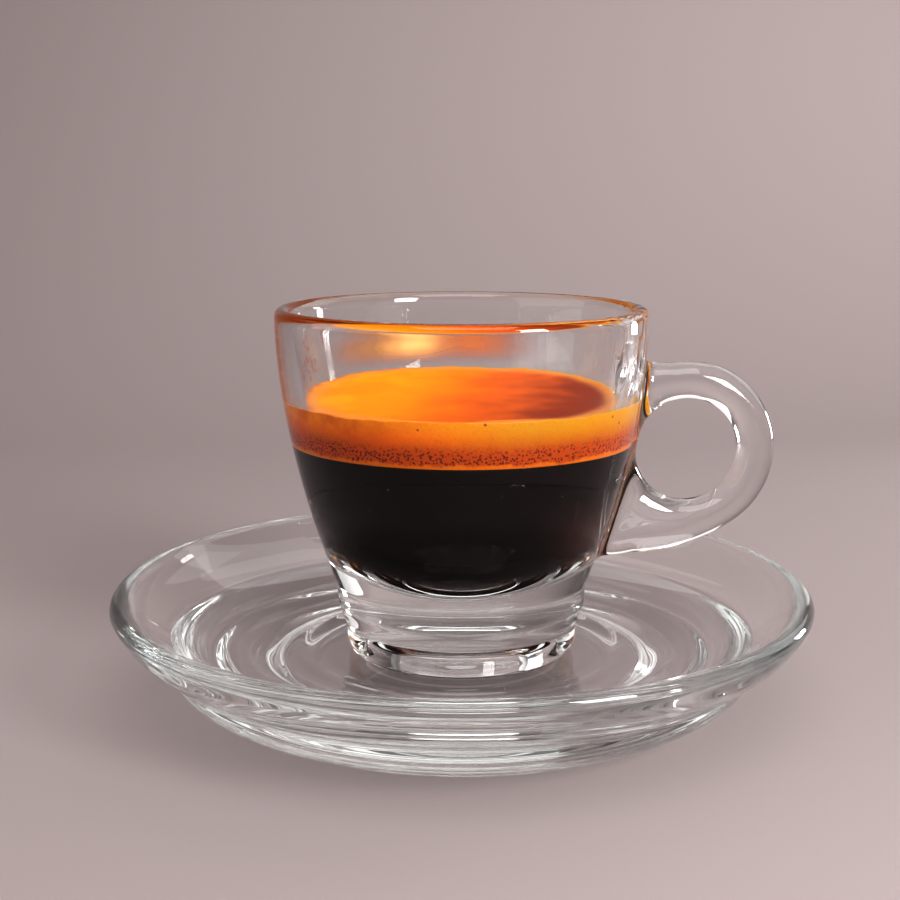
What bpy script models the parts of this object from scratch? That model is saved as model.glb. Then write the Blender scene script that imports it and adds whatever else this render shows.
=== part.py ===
"""An espresso in its clear glass cup, on a clear glass saucer.

Four solids: the saucer, the one-piece cup with its ring handle, the coffee and the crema on
top of it. Metres, +Z up. The origin is the centre of the saucer's foot, on the table, and the
handle points along +X.
"""

from math import cos, pi, radians, sin

import bmesh
import bpy
import numpy as np

MM = 0.001
GAP = 0.3 * MM  # between pieces that touch in the real thing
STEPS = 48  # sides of every turned piece

# Cup: the outside of the bowl
CUP_FOOT_Z = 7.3 * MM  # underside of the cup's foot, on the saucer's floor
CUP_RIM_Z = 64.2 * MM
RIM_RADIUS = 30.0 * MM
SHOULDER_Z = 19.0 * MM  # where the bowl meets the thick base
SHOULDER_RADIUS = 20.6 * MM
FLARE_POWER = 1.8  # how early the bowl's side turns upright
# Cup: the inside of the bowl
LIP_WALL = 2.6 * MM
WALL_GROWTH = 0.049  # extra wall for each unit of depth below the lip
BOWL_BEND_Z = 31.0 * MM  # below this the inside rounds in to its floor
BOWL_FLOOR_Z = 20.0 * MM
# Cup: the base block
BASE_WAIST = (19.2 * MM, 12.4 * MM)  # radius and height of its narrower lower part
BASE_FOOT = (18.9 * MM, 9.2 * MM)
FOOT_RADIUS = 17.2 * MM  # outer edge of the flat ring it stands on
RECESS = ((10.6, 7.3), (10.2, 9.4), (9.2, 10.7), (8.0, 10.9), (0.0, 11.2))  # its hollow

# Handle: a ring with a web that runs into the wall
RING_CENTRE = (37.1 * MM, 40.4 * MM)  # x and z
RING_OUTER = 14.65 * MM
RING_HOLE = 8.45 * MM
RING_TOP_END = radians(100)  # where the top edge leaves the ring for the wall
RING_LOW_END = radians(-57.3)  # where the lower edge does
WEB_RADIUS = 31.8 * MM  # sweep of the lower edge from the ring to the wall
HANDLE_THICKNESS = 6.4 * MM
HANDLE_ROUNDING = 2.0 * MM
ROOT_SINK = 0.75  # how far the handle reaches into the wall, as a share of it
ROOT_PROUD = 1.0 * MM  # thicker strip along the wall, where the glass flows together
ROOT_THICKNESS = 9.0 * MM

# Drink
COFFEE_TOP_Z = 42.6 * MM
CREMA_TOP_Z = 49.4 * MM
MENISCUS = 0.5 * MM  # how far the crema climbs the wall
MENISCUS_WIDTH = 3.0 * MM

# Saucer
SAUCER_RADIUS = 57.2 * MM
SAUCER_HEIGHT = 18.5 * MM
BEAD = 1.5 * MM  # radius of the rolled rim
WELL_RADIUS = 21.5 * MM
SAUCER_FLOOR_Z = CUP_FOOT_Z - GAP
# Corners of the terraces inside, from the well out to the bead: radius and height
TERRACES = ((26.4, 7.9), (31.6, 8.3), (36.6, 9.1), (46.2, 11.1))
TERRACE_SAGS = (0.45, 0.5, 0.5, 0.55, 0.3)
# The three bulging steps outside, each from its upper to its lower end
UPPER_STEP = ((56.9, 16.1), (49.3, 9.0))
MIDDLE_STEP = ((48.9, 8.3), (42.7, 2.4))
LOWER_STEP = ((41.7, 2.4), (37.0, 0.0))
STEP_BULGE = (0.9 * MM, 1.1 * MM, 0.5 * MM)
FOOT_INNER = 33.0 * MM
UNDERSIDE_Z = 2.6 * MM
UNDERSIDE_RADIUS = 30.5 * MM


def arc(start, end, bulge, count):
    """Points from start to end, both included, on an arc that bulges to the left of the way."""
    start, end = np.array(start), np.array(end)
    across = end - start
    left = np.array((-across[1], across[0])) / np.hypot(*across)
    share = np.linspace(0, 1, count)
    rise = 4 * bulge * share * (1 - share)
    return [tuple(start + across * s + left * r) for s, r in zip(share, rise)]


def outer_radius(z):
    """Outside radius of the bowl at a height, from the shoulder to the lip."""
    share = (z - SHOULDER_Z) / (CUP_RIM_Z - LIP_WALL / 2 - SHOULDER_Z)
    flare = max(0.0, 1 - share) ** FLARE_POWER
    return RIM_RADIUS - (RIM_RADIUS - SHOULDER_RADIUS) * flare


def wall(z):
    return LIP_WALL + WALL_GROWTH * (CUP_RIM_Z - z)


def inner_radius(z):
    """Inside radius of the bowl: the wall's, rounded in below the bend by a quarter ellipse."""
    depth = max(0.0, BOWL_BEND_Z - z) / (BOWL_BEND_Z - BOWL_FLOOR_Z)
    return (outer_radius(z) - wall(z)) * np.sqrt(max(0.0, 1 - depth**2))


def root_radius(z):
    """Where the handle ends inside the wall."""
    return outer_radius(z) - ROOT_SINK * wall(z)


def bowl_floor(clearance, count):
    """The rounded floor from the axis out to the bend, lifted clear of the glass."""
    depth = BOWL_BEND_Z - BOWL_FLOOR_Z
    points = []
    for turn in np.linspace(pi / 2, 0, count, endpoint=False):
        z = BOWL_BEND_Z - depth * sin(turn)
        radius = max(0.0, inner_radius(z) - clearance * cos(turn))
        points.append((radius, z + clearance * sin(turn)))
    points[0] = (0.0, BOWL_FLOOR_Z + clearance)
    return points


def wall_inside(low, high, clearance, count):
    """Points up the inside of the wall between two heights."""
    return [(inner_radius(z) - clearance, z) for z in np.linspace(low, high, count)]


def cup_profile():
    """From the bowl's floor up the inside, over the lip, down the outside to the foot."""
    lip_z = CUP_RIM_Z - LIP_WALL / 2
    middle = RIM_RADIUS - LIP_WALL / 2
    inside = wall_inside(BOWL_BEND_Z, lip_z, 0, 9)
    lip = [
        (middle - cos(turn) * LIP_WALL / 2, lip_z + sin(turn) * LIP_WALL / 2)
        for turn in np.linspace(0, pi, 7)[1:-1]
    ]
    outside = [(outer_radius(z), z) for z in np.linspace(lip_z, SHOULDER_Z, 13)]
    base = [(SHOULDER_RADIUS - 0.25 * MM, 15.6 * MM), BASE_WAIST]
    base += arc(BASE_FOOT, (FOOT_RADIUS, CUP_FOOT_Z), 0.45 * MM, 4)
    recess = [(radius * MM, height * MM) for radius, height in RECESS]
    return bowl_floor(0, 8) + inside + lip + outside + base + recess


def coffee_profile():
    top = COFFEE_TOP_Z - GAP / 2
    side = wall_inside(BOWL_BEND_Z, top, GAP, 5)[::-1]
    return [(0.0, top)] + side + bowl_floor(GAP, 8)[::-1]


def crema_profile():
    """A flat disc whose top dips slightly in the middle and climbs the wall at its edge."""
    bottom = COFFEE_TOP_Z + GAP / 2
    edge = inner_radius(CREMA_TOP_Z) - GAP
    top = [
        (radius, CREMA_TOP_Z + MENISCUS * (radius / edge) ** (edge / MENISCUS_WIDTH))
        for radius in edge * np.array((0, 0.4, 0.7, 0.85, 0.93))
    ]
    side = wall_inside(bottom, CREMA_TOP_Z + MENISCUS, GAP, 4)[::-1]
    return top + side + [(0.0, bottom)]


def saucer_profile():
    """From the middle of the floor out over the terraces and the bead, then back underneath."""
    bead = (SAUCER_RADIUS - BEAD, SAUCER_HEIGHT - BEAD)
    corners = [(WELL_RADIUS, SAUCER_FLOOR_Z)]
    corners += [(radius * MM, height * MM) for radius, height in TERRACES]
    corners.append((bead[0] - BEAD * cos(radians(35)), bead[1] + BEAD * sin(radians(35))))
    inside = [(0.0, SAUCER_FLOOR_Z)]
    for start, end, sag in zip(corners, corners[1:], TERRACE_SAGS):
        inside += arc(start, end, -sag * MM, 5)[:-1]
    rim = [
        (bead[0] + BEAD * cos(turn), bead[1] + BEAD * sin(turn))
        for turn in np.linspace(radians(145), radians(-25), 8)
    ]
    steps = []
    for (start, end), bulge in zip((UPPER_STEP, MIDDLE_STEP, LOWER_STEP), STEP_BULGE):
        start, end = np.array(start) * MM, np.array(end) * MM
        steps += arc(start, end, bulge, 5)
    under = arc((FOOT_INNER, 0), (UNDERSIDE_RADIUS, UNDERSIDE_Z), 0.4 * MM, 3)
    return inside + rim + steps + under + [(0.0, UNDERSIDE_Z)]


def collection(name):
    made = bpy.data.collections.new(name)
    bpy.context.scene.collection.children.link(made)
    return made


def turned(name, profile, material, where):
    """A solid of revolution: the profile as a wire, swept round Z by a Screw modifier."""
    mesh = bpy.data.meshes.new(name)
    points = [(x, 0, z) for x, z in profile]
    mesh.from_pydata(points, [(i, i + 1) for i in range(len(points) - 1)], [])
    piece = bpy.data.objects.new(name, mesh)
    where.objects.link(piece)
    screw = piece.modifiers.new("Turn", "SCREW")
    screw.steps = screw.render_steps = STEPS
    screw.use_merge_vertices = True
    screw.merge_threshold = 0.00002
    screw.use_smooth_shade = True
    mesh.materials.append(material)
    return piece


def ring_point(turn, radius=RING_OUTER):
    return RING_CENTRE[0] + radius * cos(turn), RING_CENTRE[1] + radius * sin(turn)


def handle_outline():
    """The plate's edge: over the ring, along the web's sweep, and back up inside the wall."""
    ring = [ring_point(turn) for turn in np.linspace(RING_TOP_END, RING_LOW_END, 22)]
    x, z = ring[-1]
    fall = pi / 2 + RING_LOW_END  # how steeply the ring comes in to the sweep
    sweep = [
        (
            x - WEB_RADIUS * (sin(fall) - sin(turn)),
            z - WEB_RADIUS * (cos(turn) - cos(fall)),
        )
        for turn in np.linspace(fall, 0, 6)[1:]
    ]
    web_z = sweep[-1][1]
    top_x, top_z = ring[0]
    reach = top_x - root_radius(top_z)
    root_top = top_z - reach * sin(RING_TOP_END - pi / 2)
    root = [(root_radius(z), z) for z in np.linspace(web_z, root_top, 6)]
    return ring + sweep + root


def root_outline():
    """A strip along the outside of the wall, as tall as the handle's root."""
    low = RING_CENTRE[1] - RING_OUTER - 1.6 * MM
    high = RING_CENTRE[1] + RING_OUTER - 2.4 * MM
    heights = np.linspace(low, high, 7)
    inner = [(root_radius(z), z) for z in heights]
    outer = [(outer_radius(z) + ROOT_PROUD, z) for z in heights[::-1]]
    return inner + outer


def plate(name, outlines, thickness, rounding, where):
    """A flat outline in the XZ plane with rounded edges, centred on Y = 0, as a closed mesh."""
    data = bpy.data.curves.new(name, "CURVE")
    data.dimensions = "2D"
    data.fill_mode = "BOTH"
    data.bevel_depth = rounding
    data.bevel_resolution = 2
    data.offset = -rounding
    data.extrude = thickness / 2 - rounding
    for outline in outlines:
        spline = data.splines.new("POLY")
        spline.points.add(len(outline) - 1)
        for point, (x, z) in zip(spline.points, outline):
            point.co = (x, z, 0, 1)
        spline.use_cyclic_u = True
    curve = bpy.data.objects.new(name + "_outline", data)
    curve.rotation_euler = (pi / 2, 0, 0)
    where.objects.link(curve)
    bpy.context.view_layer.update()
    seen = curve.evaluated_get(bpy.context.evaluated_depsgraph_get())
    mesh = bpy.data.meshes.new_from_object(seen)
    shape = bmesh.new()
    shape.from_mesh(mesh)
    bmesh.ops.remove_doubles(shape, verts=shape.verts, dist=0.00001)
    bmesh.ops.recalc_face_normals(shape, faces=shape.faces)
    shape.to_mesh(mesh)
    shape.free()
    piece = bpy.data.objects.new(name, mesh)
    piece.matrix_world = curve.matrix_world
    where.objects.link(piece)
    bpy.data.objects.remove(curve)
    piece.hide_render = True
    piece.display_type = "WIRE"
    return piece


def join(piece, other):
    """Fuses other into piece."""
    union = piece.modifiers.new("Join " + other.name, "BOOLEAN")
    union.operation = "UNION"
    union.solver = "EXACT"
    union.object = other


def finish(name, colour, roughness, transmission=0.0, ior=1.5):
    material = bpy.data.materials.new(name)
    material.use_nodes = True
    shader = material.node_tree.nodes["Principled BSDF"]
    shader.inputs["Base Color"].default_value = (*colour, 1)
    shader.inputs["Roughness"].default_value = roughness
    shader.inputs["Metallic"].default_value = 0.0
    shader.inputs["Transmission Weight"].default_value = transmission
    shader.inputs["IOR"].default_value = ior
    return material


def build():
    for old in list(bpy.data.objects):
        bpy.data.objects.remove(old)
    parts = collection("espresso")
    cutters = collection("joined shapes")
    cup_glass = finish("Cup glass", (0.93, 0.95, 0.94), 0.02, 1.0, 1.52)
    saucer_glass = finish("Saucer glass", (0.9, 0.93, 0.92), 0.03, 1.0, 1.52)
    coffee = finish("Black coffee", (0.012, 0.004, 0.002), 0.08, 0.0, 1.34)
    crema = finish("Golden crema", (0.62, 0.22, 0.03), 0.35)

    turned("saucer", saucer_profile(), saucer_glass, parts)
    cup = turned("cup", cup_profile(), cup_glass, parts)
    hole = [ring_point(turn, RING_HOLE) for turn in np.linspace(0, 2 * pi, 28, endpoint=False)]
    outlines = (handle_outline(), hole)
    join(cup, plate("handle", outlines, HANDLE_THICKNESS, HANDLE_ROUNDING, cutters))
    root = plate("handle_root", [root_outline()], ROOT_THICKNESS, ROOT_PROUD, cutters)
    join(cup, root)
    turned("coffee", coffee_profile(), coffee, parts)
    turned("crema", crema_profile(), crema, parts)


build()
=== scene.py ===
"""Looks for an espresso in its clear glass cup, on a clear glass saucer.

Every turned piece is a profile of radius and height, swept round Z on a grid of numpy arrays.
The cup's ring handle is fused to its wall, and the crease between them is then filled to a
round fillet by moving its points on to a blended surface. Metres, +Z up, the handle along +X.
"""

from math import cos, pi, radians, sin

import bmesh
import bpy
import numpy as np
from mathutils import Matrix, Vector


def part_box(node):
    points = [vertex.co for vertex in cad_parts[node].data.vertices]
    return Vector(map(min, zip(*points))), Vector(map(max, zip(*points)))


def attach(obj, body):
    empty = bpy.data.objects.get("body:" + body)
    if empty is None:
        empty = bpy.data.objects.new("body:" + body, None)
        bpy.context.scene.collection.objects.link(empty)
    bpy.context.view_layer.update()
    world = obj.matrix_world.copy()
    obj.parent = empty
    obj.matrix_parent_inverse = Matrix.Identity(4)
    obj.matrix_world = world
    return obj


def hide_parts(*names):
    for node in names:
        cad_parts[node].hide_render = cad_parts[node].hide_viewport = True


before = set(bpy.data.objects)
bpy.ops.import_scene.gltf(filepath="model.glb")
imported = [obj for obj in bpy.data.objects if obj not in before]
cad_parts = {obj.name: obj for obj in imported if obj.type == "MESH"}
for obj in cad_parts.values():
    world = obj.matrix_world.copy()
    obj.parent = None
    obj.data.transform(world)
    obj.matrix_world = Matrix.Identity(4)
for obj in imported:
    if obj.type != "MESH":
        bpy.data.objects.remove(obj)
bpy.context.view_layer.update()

MM = 0.001
CUP_LOW, CUP_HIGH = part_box("cup")
SAUCER_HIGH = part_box("saucer")[1]
COFFEE_LOW, COFFEE_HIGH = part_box("coffee")
CREMA_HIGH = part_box("crema")[1]
GAP = 0.3 * MM  # the solids' gap, which the drink closes here

# Cup, as in the solids
RIM_RADIUS = CUP_HIGH.y
RIM_Z = CUP_HIGH.z
FOOT_Z = CUP_LOW.z
LIP_WALL = 2.6 * MM
LIP_Z = RIM_Z - LIP_WALL / 2
WALL_GROWTH = 0.049
SHOULDER_RADIUS = 20.6 * MM
SHOULDER_Z = 19.0 * MM
FLARE_POWER = 1.8
BOWL_BEND_Z = 31.0 * MM
BOWL_FLOOR_Z = COFFEE_LOW.z - GAP
BASE_SIDE = ((20.35, 15.6), (19.2, 12.4), (18.9, 9.2), (18.3, 7.9))
FOOT_RADIUS = 17.2 * MM
RECESS_SIDE = ((10.6, 7.3), (10.2, 9.4), (9.2, 10.7))
RECESS_ROOF_RADIUS = 8.0 * MM
RECESS_ROOF = (10.9 * MM, 0.3 * MM)  # its height at that radius, and its rise to the axis

# Handle
RING_X = 37.1 * MM
RING_Z = 40.4 * MM
RING_HOLE = 8.45 * MM
RING_OUTER = CUP_HIGH.x - RING_X
RING_TOP_END = radians(100)
RING_LOW_END = radians(-57.3)
WEB_RADIUS = 31.8 * MM
HANDLE_HALF = 3.2 * MM
ROOT_SINK = 0.75
FILLET = 2.1 * MM
EVENNESS = 0.41  # at 1 the cup's points are spread evenly round, at less more are at the handle

# How far the pressed glass is from perfect
SLOW_WAVE = 0.02 * MM
RIPPLE = 0.05 * MM
RIPPLE_START, RIPPLE_FULL, RIPPLE_FADE = 50.4 * MM, 54 * MM, 60 * MM
RIPPLE_TURN, RIPPLE_SPREAD = radians(2), radians(24)
LIP_DIP = 0.06 * MM
LIP_DIP_DEPTH = 2.5 * MM
LIP_DIP_TURN, LIP_DIP_SPREAD = -0.5, 0.5
SAUCER_WAVE = 0.006 * MM

# Drink
COFFEE_TOP_Z = COFFEE_HIGH.z + GAP / 2
MENISCUS = 0.5 * MM  # how far the foam climbs at the glass
MENISCUS_WIDTH = 3.0 * MM
CREMA_TOP_Z = CREMA_HIGH.z - MENISCUS
REACH = 0.06 * MM  # how far the drink reaches into the glass
SWELL = 0.0022  # height of a wave on the foam for its length
SWELL_LENGTHS = (3, 22)  # millimetres
SETTLED = 0.15 * MM  # the foam lies this much lower, to make room for its waves
CLING_START, CLING_WIDTH = 0.93, 0.07  # shares of the bowl's radius
CLING_WAVE = 0.16 * MM
FILM_OVERLAP = 0.5 * MM
FILM_HEIGHT = 9.0 * MM
FILM_OUTSIDE, FILM_INSIDE = 0.01 * MM, 0.05 * MM  # in from the glass

# Saucer
SAUCER_RADIUS = SAUCER_HIGH.x
BEAD = 1.5 * MM
BEAD_Z = 17.0 * MM
BEAD_START, BEAD_END = radians(145), radians(-25)
WELL_RADIUS = 21.5 * MM
WELL_Z = FOOT_Z - 0.05 * MM
TERRACES = ((26.4, 7.9), (31.6, 8.3), (36.6, 9.1), (46.2, 11.1))
TERRACE_SAGS = (0.45, 0.5, 0.5, 0.55, 0.3)
TERRACE_SOFTNESS = 1.0 * MM
OUTER_STEPS = (
    ((56.9, 16.1), (49.3, 9.0), 0.9),
    ((48.9, 8.3), (42.7, 2.4), 1.1),
    ((41.7, 2.4), (37.0, 0.0), 0.5),
)
FOOT_INNER = 33.0 * MM
FOOT_BULGE = 0.4 * MM
UNDERSIDE_RADIUS = 30.5 * MM
UNDERSIDE_Z = 2.6 * MM

# Spacing of points
PROFILE_STEP = 0.1 * MM
SLOPE_STEP = 0.02 * MM
MERGE = 0.06 * MM  # points closer than this are made one

# Camera and studio
CAMERA_DISTANCE = 0.237
CAMERA_HEIGHT = 0.0856
CAMERA_PITCH = 0.1877  # downwards, in radians
CAMERA_YAW = 0.0079
HANDLE_TURN = radians(4)  # how far the handle points away from the camera
LENS = 59.0
SWEEP_START = 0.22  # where the paper starts to rise behind
SWEEP_BEND = 0.4
SWEEP_TOP = 1.3
SHEET = 1.0  # how far the paper reaches to the sides and to the front
FLOOR_Z = -0.05 * MM
DRINK = (0, 0, 0.045)  # what the lamps are turned to
ROOM_LIGHT = (1.0, 0.97, 0.96)
ROOM_STRENGTH = 0.22

# Colours
PAPER = (0.37, 0.312, 0.308)
GLASS_DENSITY = 4
GLASS_IOR = 1.5
COFFEE_BLACK = (0.003, 0.001, 0.0005)
# Brown and red: the thin coffee's own colour and a painted glow of light shining through it.
COFFEE_BROWN_AND_GLOW = (0.045, 0.010, 0.002)
COFFEE_RED_AND_GLOW = (0.045, 0.008, 0.001)
COFFEE_BEHIND_GLASS = 0.93  # close to its refractive index over the glass's
TOP_ORANGE, TOP_GOLD = (1.0, 0.30, 0.0), (1.0, 0.37, 0.001)
# Tawny and red-brown on the top: partly the foam's own darker streaks, partly painted shade
# towards the handle.
TOP_TAWNY_AND_SHADE, TOP_RED_BROWN_AND_SHADE = (0.76, 0.125, 0.0), (0.28, 0.032, 0.0)
TOP_EDGE = (0.95, 0.30, 0.001)
SIDE_GOLD = ((1.0, 0.22, 0.0), (0.66, 0.26, 0.0))  # away from the handle, and near it
# Pale high on the side: partly the foam's own tone, partly a painted glow of light coming in
# through the top.
SIDE_PALE_AND_GLOW = ((1.0, 0.36, 0.01), (0.70, 0.34, 0.01))
# Brown low on the side: partly the foam's own layer, partly painted shade far below the lit top.
# The mottle: partly the foam's own mottling, partly painted shade on the side turned from the key
# lamp.
SIDE_BROWN_AND_SHADE, SIDE_MOTTLE_AND_SHADE = (0.52, 0.077, 0.0), (0.68, 0.08, 0.0)
SIDE_LINE, SIDE_GRAIN = (0.9, 0.26, 0.005), (0.50, 0.070, 0.0)
PORE, HOLE = (0.13, 0.011, 0.0), (0.22, 0.02, 0.0)
FILM_SMEAR = (0.32, 0.07, 0.01)
# The film's pale middle is a painted highlight: a lamp's glow seen through the film.
FILM_LEFT, FILM_PAINTED_HIGHLIGHT, FILM_RIGHT = (0.44, 0.22, 0.06), (0.95, 0.58, 0.22), (0.62, 0.20, 0.03)


# ---------------------------------------------------------------- shapes


def outer_radius(z):
    """Bowl outside: the rim radius less a share that shrinks as a power of the way up."""
    share = (z - SHOULDER_Z) / (LIP_Z - SHOULDER_Z)
    return RIM_RADIUS - (RIM_RADIUS - SHOULDER_RADIUS) * np.clip(1 - share, 0, None) ** FLARE_POWER


def wall(z):
    """Wall thickness, growing in proportion to the depth below the rim."""
    return LIP_WALL + WALL_GROWTH * (RIM_Z - z)


def inner_radius(z):
    """Bowl inside: outside less the wall, times a quarter ellipse below the bend."""
    depth = np.clip((BOWL_BEND_Z - z) / (BOWL_BEND_Z - BOWL_FLOOR_Z), 0, 1)
    return (outer_radius(z) - wall(z)) * np.sqrt(1 - depth**2)


def smoothstep(value, low, high):
    """0 below low and 1 above high, with a smooth step between."""
    share = np.clip((value - low) / (high - low), 0, 1)
    return share * share * (3 - 2 * share)


def arc(start, end, bulge):
    """Parabola from start to end, rising to bulge on the left of the way, as an (n, 2) array."""
    start, end = np.array(start), np.array(end)
    across = end - start
    left = np.array((-across[1], across[0])) / np.hypot(*across)
    share = np.linspace(0, 1, 24)[:, None]
    return start + across * share + left * 4 * bulge * share * (1 - share)


def circle(centre, radius, start, end, count=24):
    """Points on a circle from one angle to another."""
    turn = np.linspace(start, end, count)
    return np.stack((centre[0] + radius * np.cos(turn), centre[1] + radius * np.sin(turn)), 1)


def evened(path):
    """A profile's points at even steps along its length."""
    path = np.asarray(path)
    path = path[np.r_[True, np.hypot(*np.diff(path, axis=0).T) > 1e-7]]
    length = np.r_[0, np.cumsum(np.hypot(*np.diff(path, axis=0).T))]
    even = np.arange(0, length[-1], PROFILE_STEP)
    return np.stack([np.interp(even, length, path[:, i]) for i in (0, 1)], 1)


def rounded(path, softness, ends_on_axis=True):
    """Corners rounded by averaging along the length with a bell curve of that width. An end on
    the axis is mirrored in it, and any other end is mirrored in its own point, so it stays."""
    line = evened(path)
    pad = int(4 * softness / PROFILE_STEP)
    bell = np.exp(-0.5 * (np.arange(-pad, pad + 1) * PROFILE_STEP / softness) ** 2)
    bell /= bell.sum()
    across = np.array((-1, 1))
    after = line[-2 : -pad - 2 : -1]
    after = after * across if ends_on_axis else 2 * line[-1] - after
    line = np.concatenate((line[pad:0:-1] * across, line, after))
    return np.stack([np.convolve(line[:, i], bell, "valid") for i in (0, 1)], 1)


def softened(path, softness, count, finer):
    """A profile from axis to axis with its corners rounded, sampled again at count points,
    closest where it turns most: their density grows with finer times the turn."""
    line = rounded(path, softness) if softness else evened(path)
    line[0, 0] = line[-1, 0] = 0
    heading = np.unwrap(np.arctan2(*np.gradient(line, axis=0).T))
    dense = PROFILE_STEP / MM + finer * np.abs(np.gradient(heading))
    way = np.r_[0, np.cumsum((dense[1:] + dense[:-1]) / 2)]
    picks = np.linspace(0, way[-1], count)
    return np.stack([np.interp(picks, way, line[:, i]) for i in (0, 1)], 1)


def mesh_piece(name, points, faces, material):
    """A smooth-shaded mesh object from arrays of points and of faces with one side count."""
    mesh = bpy.data.meshes.new(name)
    mesh.vertices.add(len(points))
    mesh.vertices.foreach_set("co", np.asarray(points, dtype=np.float32).ravel())
    sides = faces.shape[1]
    mesh.loops.add(faces.size)
    mesh.loops.foreach_set("vertex_index", faces.ravel().astype(np.int32))
    mesh.polygons.add(len(faces))
    mesh.polygons.foreach_set("loop_start", np.arange(0, faces.size, sides, dtype=np.int32))
    mesh.update(calc_edges=True)
    mesh.validate()
    mesh.shade_smooth()
    piece = bpy.data.objects.new(name, mesh)
    bpy.context.scene.collection.objects.link(piece)
    if material:
        mesh.materials.append(material)
    return piece


def grid_faces(rows, columns, closed_rows=False):
    """Quads between neighbouring rows and columns, columns running round."""
    last = rows if closed_rows else rows - 1
    row, column = np.meshgrid(np.arange(last), np.arange(columns), indexing="ij")
    below, beside = (row + 1) % rows, (column + 1) % columns
    corners = (row * columns + column, row * columns + beside)
    corners += (below * columns + beside, below * columns + column)
    return np.stack(corners, -1).reshape(-1, 4)


def turned(name, profile, angles, material, shift=None):
    """A profile from the axis back to the axis, turned through the angles. shift(radius, z,
    angle) gives what is added to the radius and to the height of each point."""
    radius, angle = np.meshgrid(profile[1:-1, 0], angles, indexing="ij")
    height = np.repeat(profile[1:-1, 1][:, None], len(angles), 1)
    if shift:
        out, up = shift(radius, height, angle)
        radius, height = radius + out, height + up
    ring = np.stack((radius * np.cos(angle), radius * np.sin(angle), height), -1)
    poles = [(0, 0, ring[0, :, 2].mean()), (0, 0, ring[-1, :, 2].mean())]
    points = np.concatenate((ring.reshape(-1, 3), poles))
    rows, columns = radius.shape
    quads = grid_faces(rows, columns)
    here, beside = np.arange(columns), (np.arange(columns) + 1) % columns
    last = (rows - 1) * columns
    first_cap = np.stack((np.full(columns, rows * columns), here, beside), 1)
    last_cap = np.stack((np.full(columns, rows * columns + 1), last + beside, last + here), 1)
    faces = np.concatenate((quads[:, [0, 2, 1]], quads[:, [0, 3, 2]], first_cap, last_cap))
    return mesh_piece(name, points, faces, material)


def even_angles(count):
    """Angles all round at even steps."""
    return np.linspace(0, 2 * pi, count, endpoint=False)


def handle_angles(count):
    """Angles all round, closest together at the handle: a straight line mixed with a cube."""
    share = np.linspace(-1, 1, count, endpoint=False)
    return pi * (EVENNESS * share + (1 - EVENNESS) * share**3)


# ---------------------------------------------------------------- glass cup


def cup_profile():
    """Up the inside from the axis, over the round lip, down the outside and under the foot."""
    turn = np.linspace(pi / 2, 0, 60)
    floor_z = BOWL_BEND_Z - (BOWL_BEND_Z - BOWL_FLOOR_Z) * np.sin(turn)
    up = np.linspace(BOWL_BEND_Z, LIP_Z, 120)
    down = np.linspace(LIP_Z, SHOULDER_Z, 160)
    lip_middle = (RIM_RADIUS - LIP_WALL / 2, LIP_Z)
    roof_z, rise = RECESS_ROOF
    path = (
        np.stack((inner_radius(floor_z), floor_z), 1),
        np.stack((inner_radius(up), up), 1),
        circle(lip_middle, LIP_WALL / 2, pi, 0, 40),
        np.stack((outer_radius(down), down), 1),
        np.array(BASE_SIDE) * MM,
        [(FOOT_RADIUS, FOOT_Z)],
        np.array(RECESS_SIDE) * MM,
        [(RECESS_ROOF_RADIUS, roof_z), (0, roof_z + rise)],
    )
    return softened(np.concatenate(path), 0.3 * MM, 300, finer=4.0)


def cup_unevenness(radius, height, angle):
    """Pressed glass is never quite round: a slow wave of a few hundredths of a millimetre all
    over, and upright ripples inside the wall where the handle's thick root cooled slower, as
    three sine waves that cross at a slant. On one stretch the lip dips in shallow waves."""
    slow = np.sin(2 * angle + 0.7) + 0.6 * np.sin(3 * angle - height / MM / 9)
    out = SLOW_WAVE * slow
    inside = radius < outer_radius(height) - wall(height) / 2
    band = smoothstep(height, RIPPLE_START, RIPPLE_FULL)
    band *= 1 - smoothstep(height, RIPPLE_FADE, RIM_Z)
    near = np.exp(-(((angle - RIPPLE_TURN) / RIPPLE_SPREAD) ** 2))
    along, up = angle * RIM_RADIUS / MM, height / MM
    ripple = np.sin(1.4 * along + 0.45 * up) + 0.8 * np.sin(2.1 * along - 0.50 * up + 1.0)
    ripple += 0.5 * np.sin(3.3 * along + 0.3 * up + 2.0)
    out = out + inside * band * near * ripple * RIPPLE
    lip = np.exp(-(((height - RIM_Z) / LIP_DIP_DEPTH) ** 2))
    lip *= np.exp(-(((angle - LIP_DIP_TURN) / LIP_DIP_SPREAD) ** 2))
    up_shift = lip * LIP_DIP * (np.sin(1.3 * along + 0.3) + np.sin(2.4 * along) - 2)
    return out * (height > FOOT_Z + 0.1 * MM), up_shift


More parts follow.
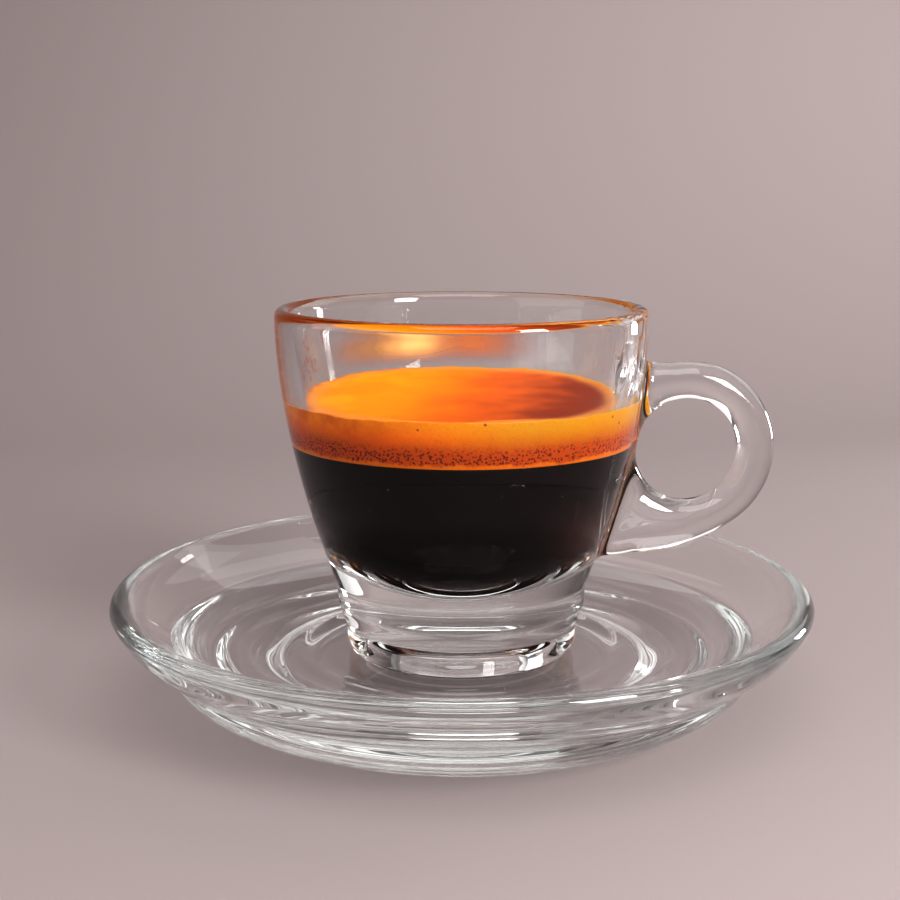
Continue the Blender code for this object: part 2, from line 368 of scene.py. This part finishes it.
def handle_reach(turn):
    """Distance from the hole's centre to the handle's edge in a direction: the ring's circle,
    the web's sweep below it, and a line inside the wall where the handle ends."""
    centre = np.array((RING_X, RING_Z))
    ring = circle(centre, RING_OUTER, RING_TOP_END, RING_LOW_END, 160)
    fall = pi / 2 + RING_LOW_END
    sweep_centre = ring[-1] + WEB_RADIUS * np.array((-sin(fall), cos(fall)))
    sweep = circle(sweep_centre, WEB_RADIUS, fall - pi / 2, -pi / 2, 40)
    reach = ring[0, 0] - (outer_radius(ring[0, 1]) - ROOT_SINK * wall(ring[0, 1]))
    top_z = ring[0, 1] - reach * sin(RING_TOP_END - pi / 2)
    up = np.linspace(sweep[-1, 1], top_z, 80)
    root = np.stack((outer_radius(up) - ROOT_SINK * wall(up), up), 1)
    edge = np.concatenate((ring, sweep, root)) - centre
    at, far = np.arctan2(edge[:, 1], edge[:, 0]), np.hypot(edge[:, 0], edge[:, 1])
    order = np.argsort(at)
    return np.interp(turn, at[order], far[order], period=2 * pi)


def section_power(half):
    """A round section has 2. The wide web's is squarer, so that its faces are nearly flat."""
    return 2 + 0.35 * np.clip(half / MM - 3.1, 0, 4)


def handle_depth(x, y, z):
    """Roughly the distance outside the handle's surface, from its superellipse sections."""
    along, up = x - RING_X, z - RING_Z
    far = handle_reach(np.arctan2(up, along))
    middle, half = (far + RING_HOLE) / 2, (far - RING_HOLE) / 2
    power = section_power(half)
    across = np.abs((np.hypot(along, up) - middle) / half)
    total = across**power + np.abs(y / HANDLE_HALF) ** 2
    return (np.maximum(total, 1e-6) ** 0.5 - 1) * np.minimum(half, HANDLE_HALF)


def wall_depth(x, y, z):
    """Distance outside the bowl's outer surface, along its slope."""
    slope = (outer_radius(z + 0.1 * MM) - outer_radius(z - 0.1 * MM)) / (0.2 * MM)
    return (np.hypot(x, y) - outer_radius(z)) / np.sqrt(1 + slope**2)


def blended(points):
    """Union of bowl and handle whose crease is filled by a round fillet."""
    a, b = wall_depth(*points.T), handle_depth(*points.T)
    inward = np.hypot(np.maximum(FILLET - a, 0), np.maximum(FILLET - b, 0))
    return np.maximum(FILLET, np.minimum(a, b)) - inward


def slope_of(field, points):
    """Gradient of a field by central differences."""
    parts = []
    for axis in np.eye(3) * SLOPE_STEP:
        parts.append((field(points + axis) - field(points - axis)) / (2 * SLOPE_STEP))
    return np.stack(parts, 1)


def handle_piece():
    """The handle as a ring: its superellipse section is carried round the hole."""
    turn = even_angles(200)
    round_section = even_angles(72)
    far = handle_reach(turn)[:, None]
    middle, half = (far + RING_HOLE) / 2, (far - RING_HOLE) / 2
    power = section_power(half)
    side = np.cos(round_section)
    radius = middle - half * np.sign(side) * np.abs(side) ** (2 / power)
    y = np.broadcast_to(HANDLE_HALF * np.sin(round_section), radius.shape)
    x = RING_X + radius * np.cos(turn)[:, None]
    z = RING_Z + radius * np.sin(turn)[:, None]
    points = np.stack((x, y, z), -1).reshape(-1, 3)
    faces = grid_faces(len(turn), len(round_section), closed_rows=True)[:, ::-1]
    return mesh_piece("handle", points, faces, None)


def fuse(piece, other):
    """Boolean union, applied, with other removed and needle-thin faces merged away."""
    union = piece.modifiers.new("Fuse", "BOOLEAN")
    union.operation = "UNION"
    union.solver = "MANIFOLD"
    union.object = other
    graph = bpy.context.evaluated_depsgraph_get()
    joined = bpy.data.meshes.new_from_object(piece.evaluated_get(graph), depsgraph=graph)
    piece.modifiers.clear()
    shape = bmesh.new()
    shape.from_mesh(joined)
    bmesh.ops.remove_doubles(shape, verts=shape.verts, dist=MERGE)
    bmesh.ops.triangulate(shape, faces=shape.faces)
    shape.to_mesh(joined)
    shape.free()
    name, old = piece.name, piece.data
    piece.data = joined
    bpy.data.meshes.remove(old)
    joined.name = name
    bpy.data.objects.remove(other)


def fill_crease(piece):
    """Moves the points near the handle's root on to the blended surface, by Newton's steps."""
    mesh = piece.data
    flat = np.empty(len(mesh.vertices) * 3, dtype=np.float32)
    mesh.vertices.foreach_get("co", flat)
    points = flat.reshape(-1, 3).astype(float)
    off_wall, off_handle = wall_depth(*points.T), handle_depth(*points.T)
    near = (off_wall > -0.4 * MM) & (off_wall < 3 * FILLET) & (off_handle < 3 * FILLET)
    near &= (points[:, 0] > 0) & (points[:, 2] > SHOULDER_Z)
    moved = points[near]
    for _ in range(8):
        slope = slope_of(blended, moved)
        steep = np.maximum((slope**2).sum(1), 0.05)
        moved -= slope * (blended(moved) / steep)[:, None]
    points[near] = moved
    mesh.vertices.foreach_set("co", points.astype(np.float32).ravel())
    mesh.update()
    mesh.shade_smooth()


def glass_cup(material):
    """The turned cup and its ring handle, fused, with the crease between them filled."""
    piece = turned("glass_cup", cup_profile(), handle_angles(240), material, cup_unevenness)
    fuse(piece, handle_piece())
    fill_crease(piece)
    return piece


# ---------------------------------------------------------------- glass saucer


def saucer_profile():
    """Out over the terraces and the bead, down the three bulging steps, and back underneath."""
    bead = (SAUCER_RADIUS - BEAD, BEAD_Z)
    corners = [(WELL_RADIUS, WELL_Z)] + [(r * MM, z * MM) for r, z in TERRACES]
    corners.append((bead[0] + BEAD * cos(BEAD_START), bead[1] + BEAD * sin(BEAD_START)))
    well = [[(0, WELL_Z)]]
    for start, end, sag in zip(corners, corners[1:], TERRACE_SAGS):
        well.append(arc(start, end, -sag * MM))
    path = [rounded(np.concatenate(well), TERRACE_SOFTNESS, ends_on_axis=False)]
    path.append(circle(bead, BEAD, BEAD_START, BEAD_END))
    for start, end, bulge in OUTER_STEPS:
        path.append(arc(np.array(start) * MM, np.array(end) * MM, bulge * MM))
    path.append(arc((FOOT_INNER, 0), (UNDERSIDE_RADIUS, UNDERSIDE_Z), FOOT_BULGE))
    path.append([(0, UNDERSIDE_Z)])
    return softened(np.concatenate(path), 0.28 * MM, 280, finer=3.0)


def saucer_unevenness(radius, height, angle):
    """A slow wave of about a hundredth of a millimetre, none at the foot or the widest edge."""
    inside = (radius < SAUCER_RADIUS - 2 * MM) & (height > 0.5 * MM)
    wave = np.sin(3 * angle + 0.4) + 0.7 * np.sin(5 * angle + radius / MM / 9)
    return 0 * wave, SAUCER_WAVE * wave * inside


def glass_saucer(material):
    """The saucer's profile turned about Z, with its slow wave."""
    return turned("glass_saucer", saucer_profile(), even_angles(256), material, saucer_unevenness)


# ---------------------------------------------------------------- drink


def coffee_drink(material):
    """The bowl's inside up to the crema, larger by REACH, so that it reaches into the glass."""
    turn = np.linspace(pi / 2, 0, 60)
    floor_z = BOWL_BEND_Z - (BOWL_BEND_Z - BOWL_FLOOR_Z + REACH) * np.sin(turn)
    floor_z[-1] = BOWL_BEND_Z
    side = np.linspace(BOWL_BEND_Z, COFFEE_TOP_Z, 30)
    shape = np.concatenate(
        (
            np.stack((inner_radius(np.maximum(floor_z, BOWL_FLOOR_Z)) + REACH, floor_z), 1),
            np.stack((inner_radius(side) + REACH, side), 1),
            [(0, COFFEE_TOP_Z)],
        )
    )
    shape[0, 0] = 0
    return turned("black_coffee", softened(shape[::-1], 0, 90, 2.0), even_angles(192), material)


def crema_relief(radius, height, angle):
    """The foam's top is level to within a few tenths of a millimetre: a sum of thirty waves in
    drawn directions, fading towards the flat underside with the cube of the height. Where it
    clings to the wall, six sine waves round the axis take over."""
    share = np.clip((height - COFFEE_TOP_Z) / (CREMA_TOP_Z - COFFEE_TOP_Z), 0, 1)
    draw = np.random.default_rng(5)
    x, y = radius * np.cos(angle), radius * np.sin(angle)
    swell = 0 * x
    for _ in range(30):
        way, length = draw.uniform(0, pi), draw.uniform(*SWELL_LENGTHS) * MM
        phase = draw.uniform(0, 2 * pi)
        along = x * cos(way) + y * sin(way)
        swell += length * SWELL * np.sin(2 * pi * along / length + phase)
    cling = np.clip(radius / inner_radius(height) - CLING_START, 0, 1) / CLING_WIDTH
    line = 0 * x
    for waves in (5, 9, 14, 23, 37, 61):
        line += CLING_WAVE / waves**0.5 * np.sin(waves * angle + draw.uniform(0, 2 * pi))
    up = (swell * (1 - cling) + line * cling - SETTLED) * share**3
    return 0 * up, up


def crema_foam(material):
    """The foam as a disc between the coffee and the air, reaching just into the glass."""
    edge = inner_radius(CREMA_TOP_Z + MENISCUS) + REACH
    out = np.linspace(0, edge, 160)
    top = CREMA_TOP_Z + MENISCUS * (out / edge) ** (edge / MENISCUS_WIDTH)
    side = np.linspace(CREMA_TOP_Z + MENISCUS, COFFEE_TOP_Z, 60)
    shape = np.concatenate(
        (
            np.stack((out, top), 1),
            np.stack((inner_radius(side) + REACH, side), 1),
            [(0, COFFEE_TOP_Z)],
        )
    )
    profile = softened(shape, 0.08 * MM, 220, 3.0)
    return turned("crema_foam", profile, even_angles(320), material, crema_relief)


def crema_film(material):
    """A thin shell on the bowl's inside, from the crema up: a narrow loop of radius and height
    turned about Z."""
    up = np.linspace(CREMA_TOP_Z - FILM_OVERLAP, CREMA_TOP_Z + FILM_HEIGHT, 40)
    outside = np.stack((inner_radius(up) - FILM_OUTSIDE, up), 1)
    inside = np.stack((inner_radius(up) - FILM_INSIDE, up), 1)[::-1]
    loop = np.concatenate((outside, inside))
    angle = even_angles(128)
    radius, turn = np.meshgrid(loop[:, 0], angle, indexing="ij")
    height = np.repeat(loop[:, 1][:, None], len(angle), 1)
    points = np.stack((radius * np.cos(turn), radius * np.sin(turn), height), -1).reshape(-1, 3)
    faces = grid_faces(len(loop), len(angle), closed_rows=True)
    return mesh_piece("crema_film", points, faces, material)


# ---------------------------------------------------------------- materials


class Value:
    """A node socket whose arithmetic adds Math nodes."""

    def __init__(self, finish, socket):
        self.finish, self.socket = finish, socket

    def _with(self, operation, *others):
        made = self.finish.node("ShaderNodeMath", {"operation": operation}, *others)
        return Value(self.finish, made.outputs[0])

    def __add__(self, other):
        return self._with("ADD", self, other)

    def __radd__(self, other):
        return self._with("ADD", other, self)

    def __sub__(self, other):
        return self._with("SUBTRACT", self, other)

    def __rsub__(self, other):
        return self._with("SUBTRACT", other, self)

    def __mul__(self, other):
        return self._with("MULTIPLY", self, other)

    def __rmul__(self, other):
        return self._with("MULTIPLY", other, self)

    def __pow__(self, other):
        return self._with("POWER", self, other)

    def minimum(self, other):
        return self._with("MINIMUM", self, other)

    def maximum(self, other):
        return self._with("MAXIMUM", self, other)

    def bell(self, middle, width):
        """1 at the middle, falling smoothly to 0 at that width on both sides."""
        return 1 - self._with("ABSOLUTE", self - middle).rise(0, width)

    def rise(self, low, high):
        """0 below low and 1 above high, with a smooth step between."""
        settings = {"interpolation_type": "SMOOTHSTEP"}
        made = self.finish.node("ShaderNodeMapRange", settings, self, low, high, 0.0, 1.0)
        return Value(self.finish, made.outputs[0])


class Finish:
    """A material under construction."""

    def __init__(self, name):
        self.material = bpy.data.materials.new(name)
        self.material.use_nodes = True
        self.tree = self.material.node_tree
        self.tree.nodes.clear()
        self.output = self.tree.nodes.new("ShaderNodeOutputMaterial")

    def node(self, kind, settings, *values, **named):
        """A node of a kind: settings first, then values or links for its sockets."""
        made = self.tree.nodes.new(kind)
        for key, value in settings.items():
            setattr(made, key, value)
        for socket, value in (*enumerate(values), *named.items()):
            if isinstance(socket, str):
                socket = socket.replace("_", " ")
            if isinstance(value, Value):
                value = value.socket
            if isinstance(value, bpy.types.NodeSocket):
                self.tree.links.new(value, made.inputs[socket])
            elif value is not None:
                made.inputs[socket].default_value = value
        return made

    def value(self, kind, settings, *values, **named):
        """A node's first output, ready for arithmetic."""
        return Value(self, self.node(kind, settings, *values, **named).outputs[0])

    def place(self):
        """Object coordinates, as a vector and as its three parts in millimetres."""
        where = self.node("ShaderNodeTexCoord", {}).outputs["Object"]
        scaled = self.node("ShaderNodeVectorMath", {"operation": "SCALE"}, where)
        scaled.inputs["Scale"].default_value = 1 / MM
        parts = self.node("ShaderNodeSeparateXYZ", {}, scaled.outputs[0])
        return scaled.outputs[0], [Value(self, parts.outputs[i]) for i in range(3)]

    def noise(self, where, scale, detail, roughness):
        """Smooth noise about one half, its grain 1 / scale millimetres."""
        values = {"Scale": scale, "Detail": detail, "Roughness": roughness}
        return self.value("ShaderNodeTexNoise", {}, Vector=where, **values)

    def mix(self, factor, first, second):
        """Two colours mixed by a value. Each is a plain colour or a node's output."""
        made = self.node("ShaderNodeMix", {"data_type": "RGBA"}, factor)
        for socket, colour in ((6, first), (7, second)):
            if isinstance(colour, bpy.types.NodeSocket):
                self.tree.links.new(colour, made.inputs[socket])
            else:
                made.inputs[socket].default_value = (*colour, 1)
        return made.outputs[2]

    def done(self, surface, volume=None):
        """The material, with its surface and, for glass, what fills it."""
        self.tree.links.new(surface, self.output.inputs["Surface"])
        if volume:
            self.tree.links.new(volume, self.output.inputs["Volume"])
        return self.material


def clear_glass(name, shade, depth_colour):
    """Clear pressed glass, faintly coloured by its depth. Light from the lamps, and light that
    matte things throw on each other, goes straight through it, a little dimmed."""
    look = Finish(name)
    clear = {"Roughness": 0.0, "Transmission Weight": 1.0, "IOR": GLASS_IOR}
    glass = look.node("ShaderNodeBsdfPrincipled", {}, (1, 1, 1, 1), **clear)
    through = look.node("ShaderNodeBsdfTransparent", {}, (shade, shade, shade, 1)).outputs[0]
    surface = glass.outputs[0]
    path = look.node("ShaderNodeLightPath", {})
    for kind in ("Is Shadow Ray", "Is Diffuse Ray"):
        choice = look.node("ShaderNodeMixShader", {}, path.outputs[kind], surface, through)
        surface = choice.outputs[0]
    depth = look.node("ShaderNodeVolumeAbsorption", {}, (*depth_colour, 1), GLASS_DENSITY)
    return look.done(surface, depth.outputs[0])


def coffee_finish():
    """Black coffee behind glass: total reflection at glancing angles, near black elsewhere, and
    brown to red-brown where the rounded floor and the sides leave it thin to the front view: the
    thin coffee's own red-brown, and a painted glow of the light that shines through it there."""
    look = Finish("Black coffee")
    x, _, z = look.place()[1]
    # Brown low in the bowl and red-brown low at the sides: the thin coffee's own colour and a
    # painted glow of light shining through it.
    low = 1 - z.rise(20.5, 26.5)
    thin = x.rise(9, 19) * (1 - z.rise(26, 38)) + (0 - x).rise(14, 20) * (1 - z.rise(24, 32))
    colour = look.mix(low * 0.8, COFFEE_BLACK, COFFEE_BROWN_AND_GLOW)
    colour = look.mix(thin.minimum(1.0), colour, COFFEE_RED_AND_GLOW)
    dull = {"Roughness": 0.1, "Specular IOR Level": 0.0}
    drink = look.node("ShaderNodeBsdfPrincipled", {}, colour, **dull).outputs[0]
    mirror = look.node("ShaderNodeBsdfGlossy", {}, (1, 1, 1, 1), 0.0).outputs[0]
    glancing = look.node("ShaderNodeFresnel", {}, COFFEE_BEHIND_GLASS).outputs[0]
    both = look.node("ShaderNodeMixShader", {}, glancing, drink, mirror)
    return look.done(both.outputs[0])


def crema_finish():
    """Fine golden foam. The top runs from gold on one side to red-brown at the handle, with a
    golden edge; the darkening towards the handle is partly the foam's own tone and partly painted
    shade. Down the side it turns from gold to brown, with dark pores close above the coffee: the
    rise from brown to pale is partly the foam's own layers and partly a painted glow of light
    coming in through the top, and the darker mottles on the side away from the handle are partly
    painted shade. The rim is what lies within a millimetre of the wall, measured along its lean."""
    look = Finish("Golden crema")
    where, (x, y, z) = look.place()
    grain = look.noise(where, 4.5, 3.0, 0.7)
    fine = look.noise(where, 1.6, 4.0, 0.6)
    broad = look.noise(where, 0.10, 3.0, 0.55)
    drift = look.noise(where, 0.28, 2.0, 0.5)
    bottom = COFFEE_TOP_Z / MM
    low, high = inner_radius(COFFEE_TOP_Z) / MM, inner_radius(CREMA_TOP_Z) / MM
    lean = (high - low) / (CREMA_TOP_Z / MM - bottom)
    out = (x * x + y * y) ** 0.5
    depth = (z - bottom) * lean + low - out
    rim = 1 - depth.rise(0.2, 1.0)

    # Towards the handle the top darkens to tawny and red-brown: partly the foam's own tone, partly
    # painted shade.
    across = x * 0.95 - y * 0.30 + (broad - 0.5) * 22
    top = look.mix(broad.rise(0.38, 0.62), TOP_ORANGE, TOP_GOLD)
    top = look.mix(across.rise(-14, 7), top, TOP_TAWNY_AND_SHADE)
    top = look.mix(across.rise(5, 19), top, TOP_RED_BROWN_AND_SHADE)
    top = look.mix((out - 1.2 * broad).rise(22.0, 24.3) * 0.75, top, TOP_EDGE)

    up = z - bottom + (fine - 0.5) * 0.8 + (drift - 0.5) * 1.4
    gold = look.mix(x.rise(-12, 10), *SIDE_GOLD)
    pale = look.mix(x.rise(-12, 10), *SIDE_PALE_AND_GLOW)
    # From brown low down to gold and pale high up: partly the foam's own layers, partly a painted
    # glow of light coming in through the top.
    side = look.mix(up.rise(2.0, 5.6), SIDE_BROWN_AND_SHADE, gold)
    side = look.mix(up.rise(4.4, 6.8) * 0.7, side, pale)
    # Darker mottles on the side away from the handle: partly the foam's own mottling, partly
    # painted shade on the side turned from the key lamp.
    side = look.mix((0 - x).rise(2, 22) * drift.rise(0.35, 0.65) * 0.6, side, SIDE_MOTTLE_AND_SHADE)
    side = look.mix((1 - up.rise(0.3, 0.9)) * 0.6, side, SIDE_LINE)
    side = look.mix(grain.rise(0.48, 0.72) * 0.35, side, SIDE_GRAIN)
    colour = look.mix(rim, top, side)

    pores = look.value("ShaderNodeTexVoronoi", {}, Vector=where, Scale=2.2)
    band = (1 - up.rise(1.8, 3.8)) * up.rise(0.4, 1.0)
    dark = (1 - pores.rise(0.29, 0.52)) * band * rim
    colour = look.mix(dark * 0.95, colour, PORE)
    few = look.value("ShaderNodeTexVoronoi", {}, Vector=where, Scale=0.42)
    colour = look.mix((1 - few.rise(0.07, 0.12)) * rim * 0.8, colour, HOLE)

    bump = look.node("ShaderNodeBump", {}, Strength=0.3, Distance=0.15 * MM, Height=fine)
    values = {"Roughness": 0.4, "Specular IOR Level": 0.0, "Normal": bump.outputs[0]}
    values |= {"Subsurface Weight": 0.1, "Subsurface Radius": (1.0, 0.30, 0.05)}
    values |= {"Subsurface Scale": 1.5 * MM}
    values |= {"Coat Weight": out.rise(22, 25) * 0.5, "Coat Roughness": 0.3}
    foam = look.node("ShaderNodeBsdfPrincipled", {}, colour, **values)
    return look.done(foam.outputs[0])


def film_finish():
    """Thin crema left on the glass above the drink: a veil in three patches at the back, whose
    pale middle patch is a painted highlight, smears on the side away from the handle, and nothing
    elsewhere."""
    look = Finish("Crema film")
    where, (x, y, z) = look.place()
    broad = look.noise(where, 0.16, 3.0, 0.6)
    fine = look.noise(where, 0.9, 4.0, 0.65)
    height = z - CREMA_TOP_Z / MM
    level = height.bell(4.3, 3.8) * y.rise(8, 16)
    across = x + (broad - 0.5) * 5
    left = across.bell(-14.0, 10.0) * level
    # The middle patch, pale and nearly white, is a painted highlight: a lamp's glow seen through
    # the film.
    middle = across.bell(-6.5, 8.5) * level
    right = across.bell(4.0, 13.0) * level
    smear = (fine + broad).rise(1.08, 1.25) * (0 - x).rise(22, 26) * (1 - height.rise(6, 12))
    alpha = (left * 0.55 + middle * 0.75 + right * 0.6).minimum(0.95).maximum(smear * 0.45)
    colour = look.mix(left, FILM_SMEAR, FILM_LEFT)
    colour = look.mix(right, colour, FILM_RIGHT)
    colour = look.mix(middle, colour, FILM_PAINTED_HIGHLIGHT)
    values = {"Alpha": alpha, "Roughness": 0.5, "Specular IOR Level": 0.1}
    veil = look.node("ShaderNodeBsdfPrincipled", {}, colour, **values)
    return look.done(veil.outputs[0])


def pale_paper():
    """Matte paper of one even shade."""
    look = Finish("Pale paper")
    paper = look.node("ShaderNodeBsdfPrincipled", {}, (*PAPER, 1), Roughness=0.9)
    return look.done(paper.outputs[0])


# ---------------------------------------------------------------- studio


def studio_sweep():
    """A wide sheet of pale paper: flat on the table, then curving up into a wall behind."""
    bend = circle((SWEEP_START, FLOOR_Z + SWEEP_BEND), SWEEP_BEND, -pi / 2, 0, 32)
    path = np.concatenate(([(-SHEET, FLOOR_Z)], bend, [(SWEEP_START + SWEEP_BEND, SWEEP_TOP)]))
    x, y = np.meshgrid(np.linspace(-SHEET, SHEET, 3), path[:, 0])
    z = np.repeat(path[:, 1][:, None], 3, 1)
    row, column = np.meshgrid(np.arange(len(path) - 1), np.arange(2), indexing="ij")
    first = row * 3 + column
    faces = np.stack((first, first + 1, first + 4, first + 3), -1).reshape(-1, 4)
    points = np.stack((x, y, z), -1).reshape(-1, 3)
    floor = mesh_piece("studio_floor", points, faces, pale_paper())


def soft_lamp(name, place, size, power, aim=DRINK, spread=180):
    """A rectangular soft lamp at place, turned towards aim and unseen by the camera itself."""
    lamp = bpy.data.lights.new(name, "AREA")
    lamp.shape = "RECTANGLE"
    lamp.size, lamp.size_y = size
    lamp.energy = power
    lamp.spread = radians(spread)
    holder = bpy.data.objects.new(name, lamp)
    bpy.context.scene.collection.objects.link(holder)
    holder.location = place
    holder.rotation_euler = (Vector(aim) - Vector(place)).to_track_quat("-Z", "Y").to_euler()
    holder.visible_camera = False


def studio():
    """Even light from all round, and seven soft lamps."""
    world = bpy.data.worlds.new("Soft room")
    bpy.context.scene.world = world
    world.use_nodes = True
    background = world.node_tree.nodes["Background"]
    background.inputs["Color"].default_value = (*ROOM_LIGHT, 1)
    background.inputs["Strength"].default_value = ROOM_STRENGTH
    soft_lamp("key", (0.24, -0.30, 0.20), (0.12, 0.16), 1.5)
    soft_lamp("front top", (0, -0.30, 0.60), (0.50, 0.40), 1.9)
    soft_lamp("back right", (0.46, 0.32, 0.30), (0.40, 0.28), 0.3)
    soft_lamp("left", (-0.42, -0.12, 0.20), (0.50, 0.36), 0.55)
    soft_lamp("side", (0.38, 0.22, 0.05), (0.06, 0.09), 0.12, spread=70)
    soft_lamp("back top", (0.10, 0.32, 0.46), (0.45, 0.32), 0.4)
    soft_lamp("wall", (0.55, -0.05, 0.75), (0.3, 0.3), 1.0, aim=(0.3, 0.6, 0.25), spread=80)


def view_and_bounces():
    """A view with some contrast, and enough bounces for light that crosses many glass walls."""
    scene = bpy.context.scene
    scene.view_settings.view_transform = "Standard"
    scene.view_settings.look = "High Contrast"
    scene.view_settings.exposure = -0.2
    scene.cycles.max_bounces = 32
    scene.cycles.transmission_bounces = 32
    scene.cycles.glossy_bounces = 16


def camera():
    """The camera in front, a little above the cup and turned a little down."""
    data = bpy.data.cameras.new("camera")
    data.lens = LENS
    data.sensor_width = 36
    data.clip_start = 0.01
    view = bpy.data.objects.new("camera", data)
    bpy.context.scene.collection.objects.link(view)
    turn = -HANDLE_TURN
    view.location = (CAMERA_DISTANCE * sin(turn), -CAMERA_DISTANCE * cos(turn), CAMERA_HEIGHT)
    view.rotation_euler = (pi / 2 - CAMERA_PITCH, 0, CAMERA_YAW + turn)
    bpy.context.scene.camera = view


# ---------------------------------------------------------------- putting it together


def dress(piece, node):
    """piece stands for a node: it is attached to the root body, and the node's own part is hidden.
    """
    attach(piece, "root")
    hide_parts(node)


camera()
studio_sweep()
studio()
view_and_bounces()

cup_glass = clear_glass("Cup glass", 0.93, (0.60, 0.70, 0.64))
saucer_glass = clear_glass("Saucer glass", 0.78, (0.60, 0.69, 0.65))
dress(glass_cup(cup_glass), "cup")
dress(glass_saucer(saucer_glass), "saucer")
dress(coffee_drink(coffee_finish()), "coffee")
dress(crema_foam(crema_finish()), "crema")
film = crema_film(film_finish())
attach(film, "root")

bpy.context.view_layer.update()
